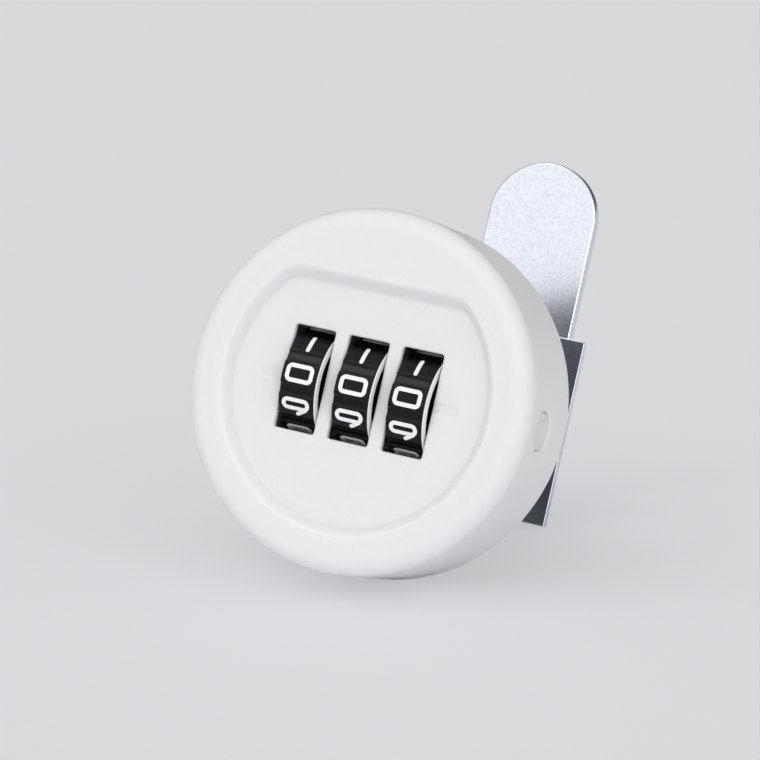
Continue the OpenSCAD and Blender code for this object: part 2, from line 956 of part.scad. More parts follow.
// Bar with a finger for each code disc and a tongue for the locking pin
module fence_bar() {
  color(steel)
    difference() {
      union() {
        block([-bar_half_l, bar_y, bar_bottom], [bar_half_l, fence_back, bar_top]);
        block([-tongue_w / 2, bar_y, tongue_bottom], [tongue_w / 2, fence_back, bar_bottom]);
        for (x = dial_xs)
          translate([x - dial_w / 2 - dial_gap + finger_inset, 0, 0]) {
            block([0, shank_y, bar_bottom], [finger_w, fence_back, tip_h / 2]);
            block([0, tip_y, -tip_h / 2], [finger_w, fence_back, tip_h / 2]);
          }
      }
      post(0, -pin_offset, pin_d / 2 + hole_fit, bar_y - past, fence_back + past);
    }
}

module fence_pin() {
  color(steel)
    post(0, -pin_offset, pin_d / 2, bar_y, pin_tip_y);
}

mounting_sleeve();
clamp_plate();
clamp_nut();
knob_shell();
rear_cover();
cover_screws();
spindle();
stop_washer();
cam();
cam_washer();
cam_screw();
axle_keeper_left();
axle_keeper_right();
detent_spring();
detent_rivets();
change_spring();
fence_spring();
dial_left();
dial_left_ring();
dial_middle();
dial_middle_ring();
dial_right();
dial_right_ring();
change_button();
dial_axle();
code_sleeve_left();
code_sleeve_middle();
code_sleeve_right();
fence_bar();
fence_pin();
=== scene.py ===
# %% [markdown]
# # Combination locker lock
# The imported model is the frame: its bodies, joints and sizes stay as they are. This script gives each piece its
# finish and puts rounder forms in place of the plain ones where the eye can tell: the moulded housing, the dials
# with their numbers, the button, the threaded sleeve and the pressed zinc-plated pieces.
#
# Lengths are in millimetres here and are turned into metres when a mesh is made. The lock's axis is Y, the face
# looks along -Y, and +Z is up.

# %% Kit and frame
import math

import bmesh
import bpy
import numpy as np
from mathutils import Matrix, Vector


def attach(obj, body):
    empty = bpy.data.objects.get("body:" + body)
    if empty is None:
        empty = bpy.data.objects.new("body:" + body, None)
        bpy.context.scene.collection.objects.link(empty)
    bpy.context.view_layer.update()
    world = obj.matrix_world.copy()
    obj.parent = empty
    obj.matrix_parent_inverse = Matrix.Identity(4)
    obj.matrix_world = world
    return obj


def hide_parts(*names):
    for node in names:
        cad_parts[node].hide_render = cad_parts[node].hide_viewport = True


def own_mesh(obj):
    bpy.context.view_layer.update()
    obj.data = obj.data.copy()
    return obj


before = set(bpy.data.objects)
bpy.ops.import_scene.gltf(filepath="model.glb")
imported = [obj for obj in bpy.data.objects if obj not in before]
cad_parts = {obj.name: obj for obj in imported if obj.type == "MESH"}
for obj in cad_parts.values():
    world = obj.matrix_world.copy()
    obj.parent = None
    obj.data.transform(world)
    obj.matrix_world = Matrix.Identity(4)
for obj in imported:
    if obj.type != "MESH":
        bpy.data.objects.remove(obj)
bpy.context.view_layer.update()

MM = 0.001

# %% [markdown]
# ## Sizes
# The construction's values, so that each visual form sits where its CAD node does. WHITE_R, BUTTON_FIT, the dish
# and PLATE_CORNER differ from it by less than 0.4 mm, to look as the real ones do.

# %% Sizes in millimetres
KNOB_R, INNER_R, EDGE_R = 24.0, 22.2, 2.5
FRONT_Y, PANEL_Y, PANEL_BACK, RIM_Y, RIM_EDGE = -16.4, -14.9, -13.6, -0.3, 0.25
RING_BACK, COVER_FRONT, INNER_BACK = -14.6, -2.0, -2.1
RECESS_R, RECESS_SLOPE, CHORD_Z, CHORD_SLOPE, CORNER_R = 19.15, 1.5, 12.7, 2.1, 2.0
RING_W, RIB_SINK, BOSS_R, RIB_HALF = 1.2, 0.4, 2.4, 4.0
WINDOW_W, WINDOW_H, WINDOW_CORNER, WINDOW_EDGE, WINDOW_FLARE = 5.8, 13.8, 0.3, 0.12, 0.2
INDEX_START, INDEX_END, INDEX_W, INDEX_DEPTH, INDEX_SIDE = 10.6, 14.1, 1.6, 0.15, 0.3
DIAL_Y, DIAL_R, DIAL_W, DIAL_PITCH = -9.5, 7.2, 5.3, 7.7
TREAD_T, DIAL_END_T, HUB_R, DIAL_BORE = 0.6, 1.0, 3.6, 2.66
WHITE_R, LIP_T, LIP_STEP, GROOVE_DEPTH, NUMBER_LIFT, DIGIT_TURN = 6.1, 0.2, 0.1, 0.25, 4.0, 36
BUTTON_R, BUTTON_FIT, BUTTON_END_X, COLLAR_X, COLLAR_R = 2.5, 0.15, 23.8, 15.7, 3.6
BUTTON_EDGE, DISH_BALL, DISH_DEPTH, SOCKET_R, SOCKET_X = 0.3, 3.0, 0.55, 1.32, 19.1
TUBE_X, TUBE_END, TUBE_WALL = 16.8, 22.9, 1.4
CUP_R, CUP_OUTER_R, CUP_START, CUP_END = 2.1, 3.0, -22.4, -19.8
STEM_R, STEM_FLAT, STEM_L, STOP_L, BORE_R = 9.5, 8.25, 38.1, 1.2, 5.06
STOP_R, STOP_GAP, PIN_HOLE_R, PIN_OUT = 7.4, 1.6, 1.36, 13.0
FLANGE_R, FLANGE_T, HEAD_R = 21.5, 1.0, 7.7
PLATE_Y, PLATE_T, PLATE_W, PLATE_CORNER, PLATE_FIT, PLATE_LIFT = 31.2, 1.2, 26.9, 0.25, 0.6, 0.5
PLATE_EDGE, CAM_EDGE, WASHER_EDGE = 0.12, 0.3, 0.15
NUT_AF, NUT_T, NUT_CHAMFER = 23.0, 4.5, 0.8
CAM_Y, CAM_T, CAM_W, CAM_TIP, CAM_SQUARE = 39.5, 2.0, 16.5, 39.0, 6.46
WASHER_T, WASHER_R, WASHER_HOLE_R = 1.0, 6.0, 2.5
HEAD_AF, HEAD_H, HEAD_CHAMFER, CAM_SCREW_R, CAM_SCREW_L = 8.0, 3.2, 0.6, 2.1, 11.0
CHANGE_L, CHANGE_R, CHANGE_END_X = 6.36, 1.7, -22.18
FENCE_L, FENCE_R, FENCE_END_Y = 2.46, 1.8, -2.02
TRAVEL, WIRE_R = 1.2, 0.2

# %% [markdown]
# ## Mesh helpers
# Every form is a stack of closed rings, worked out with numpy. A stack has the shape (rows, columns, 3).

# %% Rings, faces and objects
def ring_faces(rows, cols, loop):
    """Quads of a grid of rings. Columns close on themselves, and the last row joins the first if loop."""
    index = np.arange(rows * cols).reshape(rows, cols)
    right = np.roll(index, -1, axis=1)
    if loop:
        return np.stack([index, right, np.roll(right, -1, 0), np.roll(index, -1, 0)], -1).reshape(-1, 4).tolist()
    return np.stack([index[:-1], right[:-1], right[1:], index[1:]], -1).reshape(-1, 4).tolist()


def part(stack, loop=False):
    """(points, faces) of a stack of rings, with flat ends unless it loops."""
    rows, cols = stack.shape[:2]
    faces = ring_faces(rows, cols, loop)
    if not loop:
        faces.append(list(range(cols)))
        faces.append(list(range((rows - 1) * cols, rows * cols)))
    return stack.reshape(-1, 3), faces


def joined(parts):
    """(points, faces) of several parts as one mesh."""
    points, faces, start = [], [], 0
    for p, f in parts:
        points.append(p)
        faces.extend([[i + start for i in face] for face in f])
        start += len(p)
    return np.concatenate(points), faces


def shade(mesh, crease):
    """Smooth shading, with edges that turn more than crease degrees left sharp."""
    mesh.shade_smooth()
    mesh.set_sharp_from_angle(angle=math.radians(crease))


def make(name, points, faces, crease=32.0):
    """An object at the origin from points in mm, with its normals turned outwards."""
    mesh = bpy.data.meshes.new(name)
    mesh.from_pydata((points * MM).tolist(), [], faces)
    work = bmesh.new()
    work.from_mesh(mesh)
    bmesh.ops.recalc_face_normals(work, faces=work.faces)
    work.to_mesh(mesh)
    work.free()
    shade(mesh, crease)
    obj = bpy.data.objects.new(name, mesh)
    bpy.context.scene.collection.objects.link(obj)
    return obj


def cut(obj, *cutters, crease=32.0):
    """Takes the cutters out of obj, one after another, and removes them."""
    for cutter in cutters:
        modifier = obj.modifiers.new("cut", "BOOLEAN")
        modifier.operation, modifier.solver, modifier.object = "DIFFERENCE", "EXACT", cutter
    evaluated = obj.evaluated_get(bpy.context.evaluated_depsgraph_get())
    old, obj.data = obj.data, bpy.data.meshes.new_from_object(evaluated)
    obj.modifiers.clear()
    bpy.data.meshes.remove(old)
    for cutter in cutters:
        bpy.data.objects.remove(cutter)
    shade(obj.data, crease)


def turned_y(profile, cols=144):
    """Rings about the lock's axis from a profile of (radius, y) rows. A radius may vary with the angle."""
    angle = np.arange(cols) * 2 * np.pi / cols
    radius = np.stack([np.broadcast_to(r, cols) for r, _ in profile])
    height = np.stack([np.broadcast_to(y, cols) for _, y in profile])
    return np.stack([radius * np.cos(angle), height, radius * np.sin(angle)], -1)


def turned_x(profile, cols=96, y=DIAL_Y, z=0.0):
    """Rings about a line along X through (y, z) from a profile of (radius, x) rows."""
    angle = np.arange(cols) * 2 * np.pi / cols
    radius = np.array([r for r, _ in profile])[:, None]
    along = np.broadcast_to(np.array([x for _, x in profile])[:, None], (len(profile), cols))
    return np.stack([along, y - radius * np.cos(angle), z + radius * np.sin(angle)], -1)


def arc(centre, radius, start, end, steps):
    """Points of an arc in a profile, from start to end degrees."""
    angle = np.radians(np.linspace(start, end, steps))
    return [(centre[0] + radius * c, centre[1] + radius * s) for c, s in zip(np.cos(angle), np.sin(angle))]


def rounded_rect(width, height, radius, steps=7):
    """Outline of a rectangle with round corners, centred on (0, 0)."""
    corners = []
    for i, (sx, sz) in enumerate([(1, 1), (-1, 1), (-1, -1), (1, -1)]):
        centre = (sx * (width / 2 - radius), sz * (height / 2 - radius))
        corners += arc(centre, radius, 90 * i, 90 * (i + 1), steps)
    return np.array(corners)


def resampled(outline, count):
    """count points spaced evenly along a closed outline, from its crossing of the +X axis and turning left."""
    loop = np.vstack([outline, outline[:1]])
    along = np.concatenate([[0], np.cumsum(np.linalg.norm(np.diff(loop, axis=0), axis=1))])
    fine = np.linspace(0, along[-1], 8 * count, endpoint=False)
    dense = np.stack([np.interp(fine, along, loop[:, 0]), np.interp(fine, along, loop[:, 1])], -1)
    first = np.argmin(np.abs(np.arctan2(dense[:, 1], dense[:, 0])))
    return np.roll(dense, -first, axis=0)[::8]


def outward(outline):
    """Unit normals of a closed outline that turns left, from the chord between each point's neighbours."""
    chord = np.roll(outline, -1, axis=0) - np.roll(outline, 1, axis=0)
    normal = np.stack([chord[:, 1], -chord[:, 0]], -1)
    return normal / np.linalg.norm(normal, axis=1, keepdims=True)


def on_same_rays(hole, outer):
    """The hole's outline with its points moved along it to the rays from (0, 0) through the outer outline's points."""
    turn = np.arctan2(hole[:, 1], hole[:, 0])
    wanted = np.arctan2(outer[:, 1], outer[:, 0])
    radius = np.interp(wanted, turn, np.linalg.norm(hole, axis=1), period=2 * np.pi)
    return np.stack([radius * np.cos(wanted), radius * np.sin(wanted)], -1)


def pressed_plate(outer, hole, y0, y1, edge, hole_edge=0.12, steps=5):
    """Rings of a flat plate with a hole whose points lie on the outer ones' rays, with the outer edge rounded."""
    hole = on_same_rays(hole, outer)
    n_out, n_hole = outward(outer), outward(hole)
    turn = np.linspace(0, np.pi / 2, steps)
    rows = [(hole, y0 + hole_edge), (hole + n_hole * hole_edge, y0)]
    rows += [(outer - n_out * edge * (1 - np.sin(a)), y0 + edge * (1 - np.cos(a))) for a in turn]
    rows += [(outer - n_out * edge * (1 - np.sin(a)), y1 - edge * (1 - np.cos(a))) for a in turn[::-1]]
    flat = outer - n_out * (edge + 0.15)  # keeps the rounded edge's shading off the faces
    rows = rows[:2] + [(flat, y0)] + rows[2:] + [(flat, y1)]
    rows += [(hole + n_hole * hole_edge, y1), (hole, y1 - hole_edge)]
    return np.stack([np.stack([p[:, 0], np.full(len(p), y), p[:, 1]], -1) for p, y in rows])


def bar(outline, x0, x1):
    """A bar along X from an outline of (y, z) points."""
    outline = np.asarray(outline, dtype=float)
    return np.stack([np.column_stack([np.full(len(outline), x), outline]) for x in (x0, x1)])


def box_bar(x0, x1, y0, y1, z0, z1):
    """A plain box as a bar along X."""
    return part(bar([(y0, z0), (y1, z0), (y1, z1), (y0, z1)], x0, x1))


print("helpers ready")

# %% [markdown]
# ## Finishes
# Each finish is procedural and is laid out in Object coordinates. The grain sizes are the real ones in
# millimetres. Colours are given as screen hex values and turned into linear ones.

# %% Finishes
def linear(code):
    """Linear RGBA of a screen colour such as '#ECECEF': ((c + 0.055) / 1.055) ^ 2.4 above the toe."""
    c = np.array([int(code[i:i + 2], 16) for i in (1, 3, 5)]) / 255
    value = np.where(c <= 0.04045, c / 12.92, ((c + 0.055) / 1.055) ** 2.4)
    return (*value.tolist(), 1.0)


def add(tree, kind, **sockets):
    """Adds a shader node. Each socket is given by name with _ for a space, as a value or as another's output."""
    made = tree.nodes.new(kind)
    for key, value in sockets.items():
        socket = made.inputs[key.replace("_", " ")]
        if isinstance(value, bpy.types.NodeSocket):
            tree.links.new(value, socket)
        else:
            socket.default_value = value
    return made


def finish(name, dark, light, rough, metallic=0.0, grain=0.2, relief=0.0, detail=2.0, specular=0.5, scatter=0.0):
    """A finish whose colour runs from dark to light and whose roughness runs over rough with a noise of that grain.

    The noise also lifts the surface by relief mm, so its slope is about relief / grain. With scatter, light goes
    that many mm into the plastic before it comes out.
    """
    material = bpy.data.materials.new(name)
    material.use_nodes = True
    tree = material.node_tree
    shader = tree.nodes["Principled BSDF"]
    place = add(tree, "ShaderNodeTexCoord").outputs["Object"]
    noise = add(tree, "ShaderNodeTexNoise", Vector=place, Scale=1 / (grain * MM), Detail=detail, Roughness=0.55)
    ramp = add(tree, "ShaderNodeValToRGB", Fac=noise.outputs["Fac"])
    ramp.color_ramp.elements[0].position, ramp.color_ramp.elements[1].position = 0.35, 0.65
    ramp.color_ramp.elements[0].color, ramp.color_ramp.elements[1].color = linear(dark), linear(light)
    rougher = add(tree, "ShaderNodeMapRange", Value=noise.outputs["Fac"], To_Min=rough[0], To_Max=rough[1])
    tree.links.new(ramp.outputs["Color"], shader.inputs["Base Color"])
    tree.links.new(rougher.outputs["Result"], shader.inputs["Roughness"])
    shader.inputs["Metallic"].default_value = metallic
    shader.inputs["Specular IOR Level"].default_value = specular
    if scatter:
        shader.inputs["Subsurface Weight"].default_value = 1.0
        shader.inputs["Subsurface Radius"].default_value = (1.0, 1.0, 1.0)
        shader.inputs["Subsurface Scale"].default_value = scatter * MM
    if relief:
        bump = add(tree, "ShaderNodeBump", Strength=1.0, Distance=relief * MM, Height=noise.outputs["Fac"])
        tree.links.new(bump.outputs["Normal"], shader.inputs["Normal"])
    return material


WHITE = finish(
    "white_moulded_abs", "#EEEEF0", "#F0F0F2", (0.42, 0.5), grain=0.25, relief=0.002, specular=0.35, scatter=1.0
)
WHITE_SMOOTH = finish("white_smooth_abs", "#EFEFF0", "#F2F2F3", (0.3, 0.36), grain=0.5)
# Painted shade: the button's white is the housing's plastic made darker, so the button looks shaded on the side wall.
WHITE_BUTTON_PAINTED_SHADE = finish("white_button_abs_painted_shade", "#E2E2E3", "#E6E6E7", (0.4, 0.48), grain=0.3, specular=0.35, scatter=0.2)
BLACK = finish("black_smooth_abs", "#060607", "#0A0A0C", (0.24, 0.3), grain=0.25, relief=0.001, specular=0.24)
NUMBER = finish("white_number", "#FCFCFD", "#FFFFFF", (0.35, 0.45), grain=0.3)
ZINC = finish(
    "zinc_plate_speckled", "#DEE5F2", "#F6F9FF", (0.17, 0.25), metallic=1.0, grain=0.32, relief=0.003, detail=3.0
)
# Partly the casting's own grey and partly painted shade: it is darkened so that the flange, as the cam reflects it,
# reads as shaded.
CASTING_GREY_WITH_PAINTED_SHADE = finish("zinc_plated_casting", "#6A6D72", "#7C7F84", (0.35, 0.5), metallic=1.0, grain=0.9, relief=0.008)
STEEL = finish("bright_rolled_steel", "#B9BBBE", "#C9CBCE", (0.25, 0.35), metallic=1.0, grain=0.6, relief=0.003)
BRASS = finish("turned_brass", "#C9A557", "#D8B768", (0.2, 0.3), metallic=1.0, grain=0.5, relief=0.002)
# Painted shade: the bronze is darkened well below its own colour, so the spring seen through a window looks as dark as
# if it stood in shadow.
BRONZE_PAINTED_SHADE = finish("phosphor_bronze_painted_shade", "#8A6642", "#98744E", (0.25, 0.35), metallic=1.0, grain=0.6, relief=0.002)


def dress(obj, material, body, slot, *nodes):
    """Gives obj its finish, lets it ride on its body, and states which CAD nodes it stands for."""
    obj.data.materials.clear()
    obj.data.materials.append(material)
    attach(obj, body)
    if nodes:
        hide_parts(*nodes)
    print(obj.name, "for", ", ".join(nodes) or "no node", len(obj.data.polygons), "faces")


FINISHES = {
    "rear_cover": STEEL, "cover_screws": STEEL, "spindle": CASTING_GREY_WITH_PAINTED_SHADE, "stop_washer": ZINC,
    "axle_keeper_left": BLACK, "axle_keeper_right": BLACK, "detent_spring": BRONZE_PAINTED_SHADE, "detent_rivets": STEEL,
    "dial_axle": STEEL, "code_sleeve_left": BRASS, "code_sleeve_middle": BRASS, "code_sleeve_right": BRASS,
    "fence_bar": STEEL, "fence_pin": STEEL,
}
for node_name, material in FINISHES.items():
    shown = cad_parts[node_name]
    shown.data.materials.clear()
    shown.data.materials.append(material)
print("finishes on", len(FINISHES), "CAD nodes")

# %% [markdown]
# ## Housing
# The front is a polar grid whose rings follow the recess. The recess is a circle with a flat top and rounded
# corners, so its edge is worked out as a radius for each angle, once on the panel and once on the front ring.
# Between the two the surface runs in an S: a straight slope with a round foot and a round shoulder.

# %% Housing shell
def recess_radius(angle, radius, top):
    """Distance from the centre to the recess's outline at each angle: circle, flat top, or the corner's fillet.

    The fillet's centre lies CORNER_R inside both the circle and the flat, at distance d and angle phi, and the ray
    at an angle a meets the fillet at d cos(a - phi) + sqrt(CORNER_R^2 - d^2 sin^2(a - phi)).
    """
    folded = np.where(np.cos(angle) < 0, np.pi - angle, angle)
    folded = np.arctan2(np.sin(folded), np.cos(folded))
    d, high = radius - CORNER_R, top - CORNER_R
    side = math.sqrt(d * d - high * high)
    phi = math.atan2(high, side)
    flat = top / np.maximum(np.sin(folded), 1e-6)
    fillet = d * np.cos(folded - phi) + np.sqrt(np.maximum(CORNER_R**2 - (d * np.sin(folded - phi)) ** 2, 0))
    upper = np.where(folded > math.atan2(top, side), flat, fillet)
    return np.where(folded > phi, upper, radius)


def slope_curve(t, soft):
    """0 to 1 for t from 0 to 1: straight, with a parabola of length soft at each end."""
    steep = 1 / (1 - soft)
    foot = steep * t**2 / (2 * soft)
    head = 1 - steep * (1 - t) ** 2 / (2 * soft)
    return np.where(t < soft, foot, np.where(t > 1 - soft, head, steep * (t - soft / 2)))


def housing_rings(cols=288):
    """Rings of the housing's solid, from the middle of the panel over the front, side and rim to the inside."""
    angle = np.arange(cols) * 2 * np.pi / cols
    low = recess_radius(angle, RECESS_R - RECESS_SLOPE, CHORD_Z)
    high = recess_radius(angle, RECESS_R, CHORD_Z + CHORD_SLOPE)
    flat_r = KNOB_R - EDGE_R
    rows = [(low * f, PANEL_Y) for f in (0.3, 0.6, 0.85, 0.97)]
    across = np.linspace(0, 1, 17)
    depth = (PANEL_Y - FRONT_Y) * slope_curve(across, 0.4)
    rows += [(low + (high - low) * t, PANEL_Y - d) for t, d in zip(across, depth)]
    rows += [(high + (flat_r - high) * f, FRONT_Y) for f in (0.06, 0.5, 0.94)]
    rows += [
        (flat_r + EDGE_R * math.sin(a), FRONT_Y + EDGE_R * (1 - math.cos(a))) for a in np.linspace(0, np.pi / 2, 13)
    ]
    rows += [(KNOB_R, y) for y in (-13.6, -7.0, -0.8)]
    rows += arc((KNOB_R - RIM_EDGE, RIM_Y - RIM_EDGE), RIM_EDGE, 0, 90, 4)
    step_r = RECESS_R + RING_W
    rows += [(INNER_R + 0.1, RIM_Y), (INNER_R, RIM_Y - 0.1), (INNER_R, RING_BACK), (step_r, RING_BACK)]
    rows += [(step_r, PANEL_BACK), (14.0, PANEL_BACK), (5.0, PANEL_BACK)]
    return turned_y(rows, cols)


def taper(outline, rows, x=0.0, z=0.0):
    """A cutter along Y: each row gives y and how far the outline is let out there."""
    normal = outward(outline)
    grown = [(outline + normal * out, y) for y, out in rows]
    return part(np.stack([np.column_stack([p[:, 0] + x, np.full(len(p), y), p[:, 1] + z]) for p, y in grown]))


def window_cutters():
    """The three windows: a small chamfer on the front edge and a flare behind, so that the wall looks thin."""
    outline = resampled(rounded_rect(WINDOW_W, WINDOW_H, WINDOW_CORNER), 120)
    rows = [
        (PANEL_Y - 0.5, WINDOW_EDGE + 0.5), (PANEL_Y + WINDOW_EDGE, 0.0), (PANEL_Y + 0.6, 0.0),
        (PANEL_BACK, WINDOW_FLARE), (PANEL_BACK + 1, WINDOW_FLARE),
    ]
    return [taper(outline, rows, x=side * DIAL_PITCH) for side in (-1, 0, 1)]


def index_cutters():
    """The two index marks: shallow troughs with gentle sides and a round outer end, open to the window."""
    half, start = INDEX_W / 2, INDEX_START - 0.4
    outline = np.array([(start, -half), *arc((INDEX_END - half, 0), half, -90, 90, 17), (start, half)])
    rows = [(PANEL_Y - 0.3, 0.75), (PANEL_Y + INDEX_DEPTH, -INDEX_SIDE)]
    right = taper(outline, rows)
    return [right, (right[0] * [-1, 1, 1], right[1])]


housing = make("housing", *part(housing_rings()))
hole_r = BUTTON_R + BUTTON_FIT
chamfer_x, chamfer = KNOB_R - 0.34, 1.05
button_hole = part(turned_x([(hole_r, 20.0), (hole_r, chamfer_x), (hole_r + chamfer, chamfer_x + chamfer)], 96))
cut(
    housing,
    make("window_cutters", *joined(window_cutters() + [button_hole])),
    make("index_cutters", *joined(index_cutters())),
    crease=20.0,
)
dress(housing, WHITE, "knob", "white_abs", "knob_shell")

# %% Housing's inner ribs, bosses and tube
def post_y(x, z, radius, y0, y1):
    """A round post along Y."""
    return part(turned_y([(radius, y0), (radius, y1)], 48) + np.array([x, 0, z]))


def axle_rib(x0):
    """A rib with a U-shaped slot for the axle, open to the rear."""
    slot_r, foot = 1.36, PANEL_BACK - RIB_SINK
    slot = arc((DIAL_Y, 0), slot_r, 90, 270, 13)
    outline = [(foot, -RIB_HALF), (INNER_BACK, -RIB_HALF), (INNER_BACK, -slot_r), *slot[::-1]]
    outline += [(INNER_BACK, slot_r), (INNER_BACK, RIB_HALF), (foot, RIB_HALF)]
    return part(bar(outline, x0, x0 + 1.4))


boss_places = [(-12.0, 10.0), (12.0, 10.0), (-9.0, -12.6), (9.0, -12.6)]
inner_forms = [post_y(x, z, BOSS_R, PANEL_BACK - RIB_SINK, COVER_FRONT) for x, z in boss_places]
inner_forms += [axle_rib(-14.6), axle_rib(11.9)]
inner_forms += [box_bar(x, x + 1.2, PANEL_BACK - RIB_SINK, INNER_BACK, -15.2, -10.3) for x in (-3.8, 2.6)]
tube = [(hole_r, TUBE_X), (hole_r + TUBE_WALL, TUBE_X), (hole_r + TUBE_WALL, TUBE_END), (hole_r, TUBE_END)]
spring_cup = [(CUP_R, CUP_START), (CUP_OUTER_R, CUP_START), (CUP_OUTER_R, CUP_END), (CUP_R, CUP_END)]
inner_forms += [part(turned_x(tube), loop=True), part(turned_x(spring_cup), loop=True)]
ribs = make("housing_ribs", *joined(inner_forms))
dress(ribs, WHITE, "knob", "white_abs", "knob_shell")

# %% [markdown]
# ## Dials
# A dial is turned about X. The tread has ten soft grooves and rounded shoulders, and a white ring sits in it
# with a thin lip on the right side. Each number is a stroke of even width, wrapped on the tread: the path is
# drawn flat in (across, up) and the height becomes an angle, height / radius.

# %% Dial bodies
def grooved(stack):
    """Pulls the tread's points in at the ten grooves, which have a flat floor 8 degrees wide.

    With t from 0 at 7 degrees from a groove's middle to 1 at 4 degrees, the depth is GROOVE_DEPTH t^2 (3 - 2 t).
    """
    y, z = stack[..., 1] - DIAL_Y, stack[..., 2]
    radius, angle = np.hypot(y, z), np.degrees(np.arctan2(z, -y))
    away = np.abs((angle - NUMBER_LIFT) % DIGIT_TURN - DIGIT_TURN / 2)
    into = np.clip((7.0 - away) / 3.0, 0, 1)
    share = into * into * (3 - 2 * into)
    pulled = radius - GROOVE_DEPTH * share * (radius > DIAL_R - 0.3)
    stack[..., 1] = DIAL_Y + y * pulled / radius
    stack[..., 2] = z * pulled / radius
    return stack


def dial_rings():
    """The black part: closed left end, tread with rounded edges, and hub."""
    left, right, soft = -DIAL_W / 2, DIAL_W / 2 - LIP_T, 0.22
    inner = DIAL_R - TREAD_T
    profile = [(DIAL_BORE, left), (DIAL_R - soft - 0.2, left)]
    profile += arc((DIAL_R - soft, left + soft), soft, -90, 0, 5)
    profile += [(DIAL_R, x) for x in np.linspace(left + soft + 0.2, right - 0.4, 4)]
    profile += arc((DIAL_R - 0.15, right - 0.15), 0.15, 0, 90, 4)
    profile += [(inner, right), (inner, left + DIAL_END_T), (HUB_R, left + DIAL_END_T), (HUB_R, right)]
    profile += [(DIAL_BORE, right)]
    return grooved(turned_x(profile, 360))


def white_rings():
    """The white ring inside the tread, with its lip."""
    left, right = -DIAL_W / 2 + DIAL_END_T, DIAL_W / 2
    lip_r, outer = DIAL_R - LIP_STEP, DIAL_R - TREAD_T - 0.01
    profile = [(WHITE_R, left), (outer, left), (outer, right - LIP_T)]
    profile += [(lip_r, right - LIP_T), (lip_r, right - 0.06), (lip_r - 0.06, right), (WHITE_R + 0.1, right)]
    profile += [(WHITE_R, right - 0.1)]
    return turned_x(profile, 240)


print("dial profiles ready")

# %% Numbers
NUMBER_W, NUMBER_H, STROKE, STROKE_STEP, STROKE_SUNK = 3.95, 2.5, 0.56, 0.06, 0.12
A, B = (NUMBER_W - STROKE) / 2, (NUMBER_H - STROKE) / 2
SHAPES = {
    0: [([(-A, -B), (A, -B), (A, B), (-A, B)], 0.5, True)],
    1: [([(0, -B - 0.42), (0, B + 0.42)], 0, False)],
    2: [([(-A, 0.45), (-A, B), (A, B), (A, 0.1), (-A, -0.75), (-A, -B), (A + 0.3, -B)], 0.5, False)],
    3: [([(-A, B), (A, B), (A, 0.05), (-0.4, 0.05)], 0.5, False), ([(-0.4, 0), (A, 0), (A, -B), (-A, -B)], 0.5, False)],
    4: [([(0.9, -B - 0.3), (0.9, B), (0.3, B), (-A, -0.45), (A + 0.3, -0.45)], 0.2, False)],
    5: [([(A, B), (-A + 0.1, B), (-A, 0.15), (A, 0.15), (A, -B), (-A, -B)], 0.5, False)],
    6: [
        ([(-A, -B), (A, -B), (A, 0.22), (-A, 0.22)], 0.55, True),
        ([(-A + 0.05, 0.1), (-0.1, B + 0.2)], 0, False),
    ],
    7: [([(-A - 0.3, B), (A, B), (-0.5, -B - 0.3)], 0.25, False)],
    8: [
        ([(-A, -B), (A, -B), (A, 0), (-A, 0)], 0.55, True),
        ([(-A + 0.15, 0.0), (A - 0.15, 0.0), (A - 0.15, B), (-A + 0.15, B)], 0.55, True),
    ],
    9: [
        ([(-A, B), (A, B), (A, -0.22), (-A, -0.22)], 0.55, True),
        ([(A - 0.05, -0.1), (0.1, -B - 0.2)], 0, False),
    ],
}


def rounded_path(corners, radius, closed):
    """A path through the corners with each one turned into an arc, as dense points.

    The arc touches both sides at radius / tan(half the corner's angle) from the corner.
    """
    corners = np.array(corners, dtype=float)
    count, points = len(corners), []
    for i in range(count):
        here = corners[i]
        if not closed and i in (0, count - 1) or radius == 0:
            points.append(here[None])
            continue
        back, ahead = corners[i - 1] - here, corners[(i + 1) % count] - here
        len_b, len_a = np.linalg.norm(back), np.linalg.norm(ahead)
        back, ahead = back / len_b, ahead / len_a
        half = math.acos(np.clip(back @ ahead, -1, 1)) / 2
        reach = min(radius / math.tan(half), 0.48 * len_b, 0.48 * len_a)
        r = reach * math.tan(half)
        middle = back + ahead
        centre = here + middle / np.linalg.norm(middle) * r / math.sin(half)
        start, end = here + back * reach - centre, here + ahead * reach - centre
        sweep = math.atan2(start[0] * end[1] - start[1] * end[0], start @ end)
        turn = math.atan2(start[1], start[0]) + np.linspace(0, sweep, 9)
        points.append(centre + r * np.stack([np.cos(turn), np.sin(turn)], -1))
    return np.concatenate(points)


def evenly(path, closed):
    """The same path with points about every STROKE_STEP, so that it can follow the tread."""
    loop = np.vstack([path, path[:1]]) if closed else path
    along = np.concatenate([[0], np.cumsum(np.linalg.norm(np.diff(loop, axis=0), axis=1))])
    count = int(round(along[-1] / STROKE_STEP)) + 1
    where = np.linspace(0, along[-1], count, endpoint=not closed)
    return np.stack([np.interp(where, along, loop[:, 0]), np.interp(where, along, loop[:, 1])], -1)


